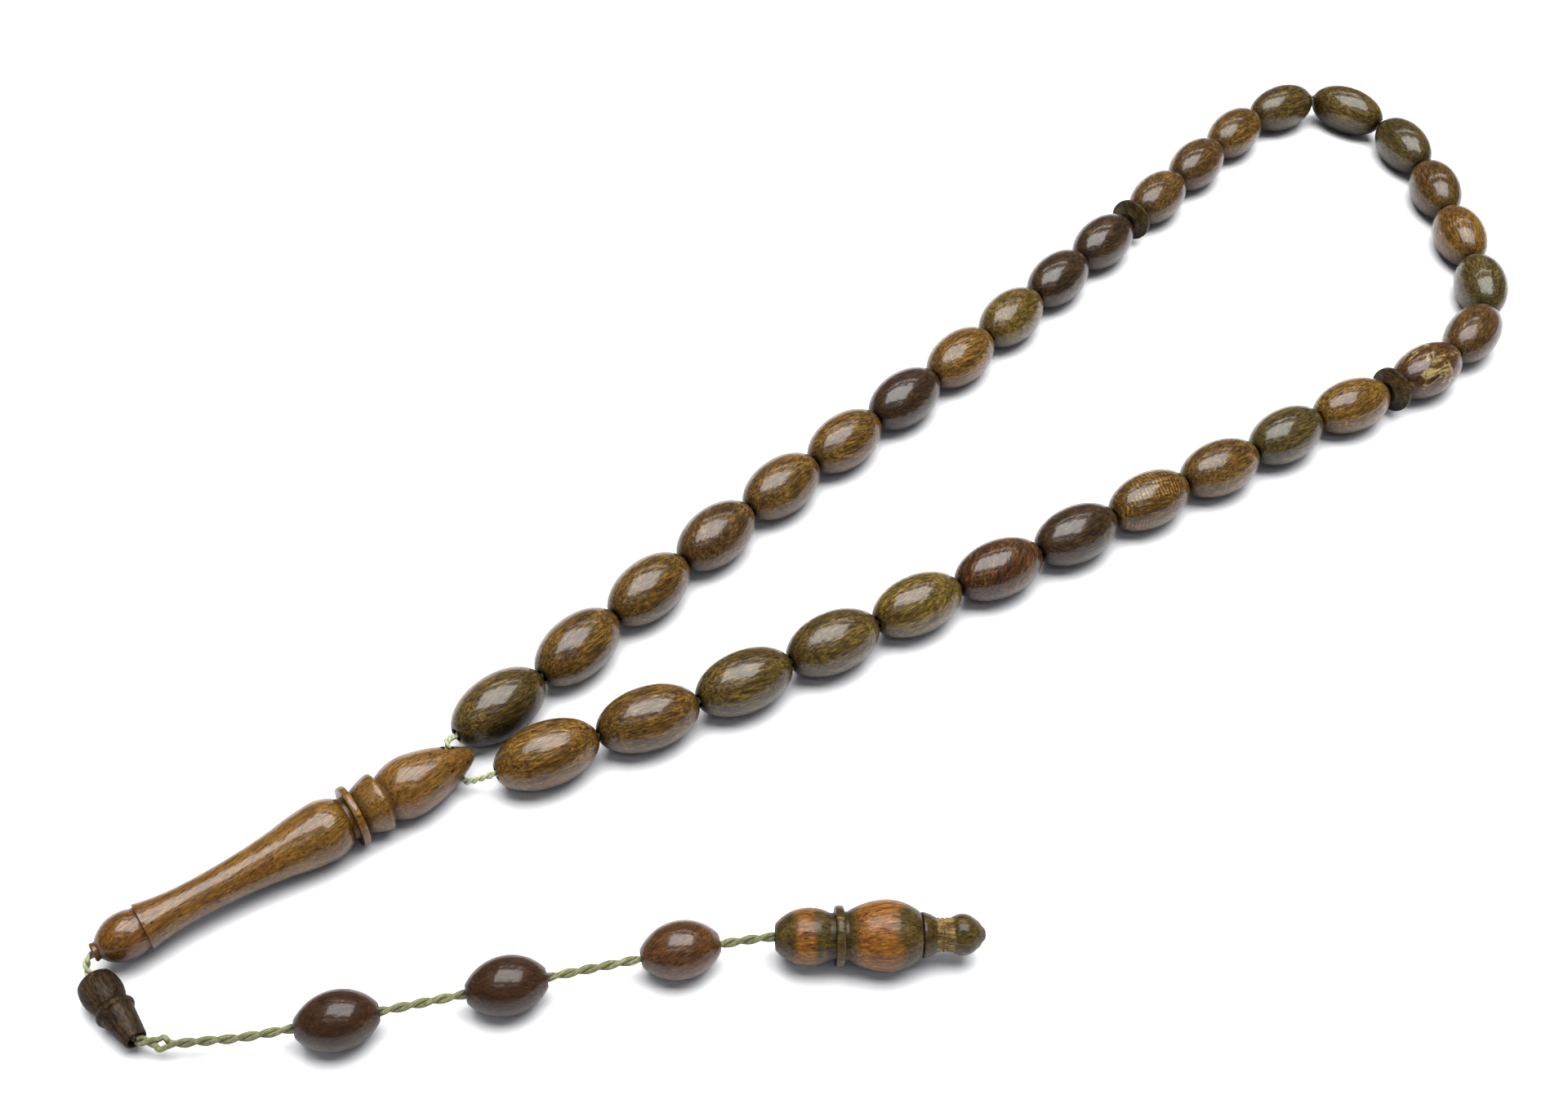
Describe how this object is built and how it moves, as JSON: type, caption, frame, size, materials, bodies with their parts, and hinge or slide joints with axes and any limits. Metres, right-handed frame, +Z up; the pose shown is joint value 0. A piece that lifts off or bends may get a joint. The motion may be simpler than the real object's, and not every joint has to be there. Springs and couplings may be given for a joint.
{
  "type": "misbaha prayer beads",
  "caption": "Loop of olive-shaped wooden prayer beads with thin dividers, a long turned leader piece, and a cord tail with small beads and a finial.",
  "frame": {"origin": "on the table, below the middle of the wooden pieces' box", "axes": "+Z up; +X along the loop, from the leader piece to the far turn; -Y towards the tail"},
  "size_m": [0.238, 0.0844, 0.0075],
  "materials": {
    "bead_dark": "waxed dark olive-brown",
    "bead_brown": "waxed mid brown",
    "bead_golden": "waxed golden brown",
    "bead_olive": "waxed olive",
    "divider_wood": "turned, satin",
    "imame_wood": "turned and waxed, warm orange-brown",
    "stopper_wood": "turned, satin, very dark",
    "tail_bead_wood": "waxed dark brown",
    "finial_wood": "turned, satin olive-brown",
    "loop_cord": "twisted two-ply, pale yellow-green",
    "tail_cord": "twisted two-strand, olive green"
  },
  "bodies": {
    "root": {"imame": "imame_wood", "imame_cord": "loop_cord", "loop_cord": "loop_cord", "link_cord": "loop_cord"},
    "stopper": {"stopper": "stopper_wood", "stopper_cord": "loop_cord"},
    "tail": {"tail_eye": "tail_cord", "tail_cord": "tail_cord"},
    "finial": {"finial_body": "finial_wood", "finial_cap": "finial_wood", "end_knot": "tail_cord"},
    "tail_bead_1": {"tail_bead_1": "tail_bead_wood"},
    "tail_bead_2": {"tail_bead_2": "tail_bead_wood"},
    "tail_bead_3": {"tail_bead_3": "tail_bead_wood"},
    "bead_01": {"bead_01": "bead_dark"},
    "bead_02": {"bead_02": "bead_brown"},
    "bead_03": {"bead_03": "bead_brown"},
    "bead_04": {"bead_04": "bead_dark"},
    "bead_05": {"bead_05": "bead_brown"},
    "bead_06": {"bead_06": "bead_brown"},
    "bead_07": {"bead_07": "bead_dark"},
    "bead_08": {"bead_08": "bead_golden"},
    "bead_09": {"bead_09": "bead_olive"},
    "bead_10": {"bead_10": "bead_dark"},
    "bead_11": {"bead_11": "bead_dark"},
    "divider_1": {"divider_1": "divider_wood"},
    "bead_12": {"bead_12": "bead_olive"},
    "bead_13": {"bead_13": "bead_brown"},
    "bead_14": {"bead_14": "bead_brown"},
    "bead_15": {"bead_15": "bead_olive"},
    "bead_16": {"bead_16": "bead_olive"},
    "bead_17": {"bead_17": "bead_olive"},
    "bead_18": {"bead_18": "bead_brown"},
    "bead_19": {"bead_19": "bead_golden"},
    "bead_20": {"bead_20": "bead_olive"},
    "bead_21": {"bead_21": "bead_dark"},
    "bead_22": {"bead_22": "bead_golden"},
    "divider_2": {"divider_2": "divider_wood"},
    "bead_23": {"bead_23": "bead_golden"},
    "bead_24": {"bead_24": "bead_olive"},
    "bead_25": {"bead_25": "bead_brown"},
    "bead_26": {"bead_26": "bead_golden"},
    "bead_27": {"bead_27": "bead_dark"},
    "bead_28": {"bead_28": "bead_dark"},
    "bead_29": {"bead_29": "bead_olive"},
    "bead_30": {"bead_30": "bead_dark"},
    "bead_31": {"bead_31": "bead_olive"},
    "bead_32": {"bead_32": "bead_brown"},
    "bead_33": {"bead_33": "bead_golden"}
  },
  "joints": [
    {"name": "stopper_swing", "type": "hinge", "parent": "root", "child": "stopper", "pos_m": [-0.11615, 0.01416, 0.0028], "axis": [0, 0, 1], "range_deg": [-85, 3], "deforming": ["link_cord"]},
    {"name": "tail_swing", "type": "hinge", "parent": "stopper", "child": "tail", "pos_m": [-0.11574, 0.00417, 0.00205], "axis": [0, 0, 1], "range_deg": [-115, 10]},
    {"name": "finial_swing", "type": "hinge", "parent": "tail", "child": "finial", "pos_m": [-0.0602, -0.0273, 0.0037], "axis": [0, 0, 1], "range_deg": [-60, 40]},
    {"name": "tail_bead_1_slide", "type": "slide", "parent": "tail", "child": "tail_bead_1", "axis": [0.8985, -0.439, 0], "range_m": [-0.0025, 0.003]},
    {"name": "tail_bead_2_slide", "type": "slide", "parent": "tail", "child": "tail_bead_2", "axis": [0.8985, -0.439, 0], "range_m": [-0.003, 0.0035]},
    {"name": "tail_bead_3_slide", "type": "slide", "parent": "tail", "child": "tail_bead_3", "axis": [0.8985, -0.439, 0], "range_m": [-0.0035, 0.001]},
    {"name": "bead_01_spin", "type": "hinge", "parent": "root", "child": "bead_01", "pos_m": [-0.06582, 0.01529, 0.00375], "axis": [0.9969, 0.0791, 0], "continuous": true},
    {"name": "bead_02_spin", "type": "hinge", "parent": "root", "child": "bead_02", "pos_m": [-0.05363, 0.01686, 0.00375], "axis": [0.9838, 0.1792, 0], "continuous": true},
    {"name": "bead_03_spin", "type": "hinge", "parent": "root", "child": "bead_03", "pos_m": [-0.04159, 0.01892, 0.00375], "axis": [0.9877, 0.1566, 0], "continuous": true},
    {"name": "bead_04_spin", "type": "hinge", "parent": "root", "child": "bead_04", "pos_m": [-0.02953, 0.02083, 0.00375], "axis": [0.9877, 0.1564, 0], "continuous": true},
    {"name": "bead_05_spin", "type": "hinge", "parent": "root", "child": "bead_05", "pos_m": [-0.0174, 0.02244, 0.00375], "axis": [0.9944, 0.106, 0], "continuous": true},
    {"name": "bead_06_spin", "type": "hinge", "parent": "root", "child": "bead_06", "pos_m": [-0.00526, 0.02374, 0.00375], "axis": [0.9943, 0.1068, 0], "continuous": true},
    {"name": "bead_07_spin", "type": "hinge", "parent": "root", "child": "bead_07", "pos_m": [0.00688, 0.02499, 0.00375], "axis": [0.9951, 0.0987, 0], "continuous": true},
    {"name": "bead_08_spin", "type": "hinge", "parent": "root", "child": "bead_08", "pos_m": [0.01903, 0.02645, 0.00375], "axis": [0.9903, 0.1391, 0], "continuous": true},
    {"name": "bead_09_spin", "type": "hinge", "parent": "root", "child": "bead_09", "pos_m": [0.03112, 0.0283, 0.00375], "axis": [0.9864, 0.1644, 0], "continuous": true},
    {"name": "bead_10_spin", "type": "hinge", "parent": "root", "child": "bead_10", "pos_m": [0.04315, 0.03036, 0.00375], "axis": [0.985, 0.1724, 0], "continuous": true},
    {"name": "bead_11_spin", "type": "hinge", "parent": "root", "child": "bead_11", "pos_m": [0.0552, 0.03235, 0.00375], "axis": [0.9881, 0.1538, 0], "continuous": true},
    {"name": "divider_1_spin", "type": "hinge", "parent": "root", "child": "divider_1", "pos_m": [0.06301, 0.03357, 0.00375], "axis": [0.9881, 0.1538, 0], "continuous": true},
    {"name": "bead_12_spin", "type": "hinge", "parent": "root", "child": "bead_12", "pos_m": [0.07082, 0.03494, 0.00375], "axis": [0.9837, 0.1797, 0], "continuous": true},
    {"name": "bead_13_spin", "type": "hinge", "parent": "root", "child": "bead_13", "pos_m": [0.08282, 0.03714, 0.00375], "axis": [0.9836, 0.1804, 0], "continuous": true},
    {"name": "bead_14_spin", "type": "hinge", "parent": "root", "child": "bead_14", "pos_m": [0.09487, 0.03919, 0.00375], "axis": [0.988, 0.1544, 0], "continuous": true},
    {"name": "bead_15_spin", "type": "hinge", "parent": "root", "child": "bead_15", "pos_m": [0.10723, 0.03923, 0.00375], "axis": [0.987, -0.1608, 0], "continuous": true},
    {"name": "bead_16_spin", "type": "hinge", "parent": "root", "child": "bead_16", "pos_m": [0.1159, 0.03192, 0.00375], "axis": [0.2095, -0.9778, 0], "continuous": true},
    {"name": "bead_17_spin", "type": "hinge", "parent": "root", "child": "bead_17", "pos_m": [0.11484, 0.01971, 0.00375], "axis": [-0.3967, -0.9179, 0], "continuous": true},
    {"name": "bead_18_spin", "type": "hinge", "parent": "root", "child": "bead_18", "pos_m": [0.1086, 0.00905, 0.00375], "axis": [-0.6133, -0.7899, 0], "continuous": true},
    {"name": "bead_19_spin", "type": "hinge", "parent": "root", "child": "bead_19", "pos_m": [0.10119, -0.00066, 0.00375], "axis": [-0.5992, -0.8006, 0], "continuous": true},
    {"name": "bead_20_spin", "type": "hinge", "parent": "root", "child": "bead_20", "pos_m": [0.09309, -0.00994, 0.00375], "axis": [-0.7162, -0.6978, 0], "continuous": true},
    {"name": "bead_21_spin", "type": "hinge", "parent": "root", "child": "bead_21", "pos_m": [0.08228, -0.01576, 0.00375], "axis": [-0.9821, -0.1886, 0], "continuous": true},
    {"name": "bead_22_spin", "type": "hinge", "parent": "root", "child": "bead_22", "pos_m": [0.06993, -0.01644, 0.00375], "axis": [-0.9959, 0.0904, 0], "continuous": true},
    {"name": "divider_2_spin", "type": "hinge", "parent": "root", "child": "divider_2", "pos_m": [0.06256, -0.01576, 0.00375], "axis": [-0.9957, 0.0929, 0], "continuous": true},
    {"name": "bead_23_spin", "type": "hinge", "parent": "root", "child": "bead_23", "pos_m": [0.05519, -0.01431, 0.00375], "axis": [-0.9758, 0.2187, 0], "continuous": true},
    {"name": "bead_24_spin", "type": "hinge", "parent": "root", "child": "bead_24", "pos_m": [0.04302, -0.01243, 0.00375], "axis": [-0.9966, 0.0829, 0], "continuous": true},
    {"name": "bead_25_spin", "type": "hinge", "parent": "root", "child": "bead_25", "pos_m": [0.03084, -0.01092, 0.00375], "axis": [-0.9865, 0.164, 0], "continuous": true},
    {"name": "bead_26_spin", "type": "hinge", "parent": "root", "child": "bead_26", "pos_m": [0.01876, -0.00907, 0.00375], "axis": [-0.9903, 0.1391, 0], "continuous": true},
    {"name": "bead_27_spin", "type": "hinge", "parent": "root", "child": "bead_27", "pos_m": [0.00668, -0.00737, 0.00375], "axis": [-0.9903, 0.1391, 0], "continuous": true},
    {"name": "bead_28_spin", "type": "hinge", "parent": "root", "child": "bead_28", "pos_m": [-0.0054, -0.00542, 0.00375], "axis": [-0.9836, 0.1803, 0], "continuous": true},
    {"name": "bead_29_spin", "type": "hinge", "parent": "root", "child": "bead_29", "pos_m": [-0.01745, -0.00336, 0.00375], "axis": [-0.9879, 0.1551, 0], "continuous": true},
    {"name": "bead_30_spin", "type": "hinge", "parent": "root", "child": "bead_30", "pos_m": [-0.02951, -0.00146, 0.00375], "axis": [-0.9877, 0.1564, 0], "continuous": true},
    {"name": "bead_31_spin", "type": "hinge", "parent": "root", "child": "bead_31", "pos_m": [-0.04156, 0.00054, 0.00375], "axis": [-0.985, 0.1724, 0], "continuous": true},
    {"name": "bead_32_spin", "type": "hinge", "parent": "root", "child": "bead_32", "pos_m": [-0.05354, 0.00327, 0.00375], "axis": [-0.9625, 0.2714, 0], "continuous": true},
    {"name": "bead_33_spin", "type": "hinge", "parent": "root", "child": "bead_33", "pos_m": [-0.06539, 0.00632, 0.00375], "axis": [-0.9737, 0.2277, 0], "continuous": true}
  ]
}
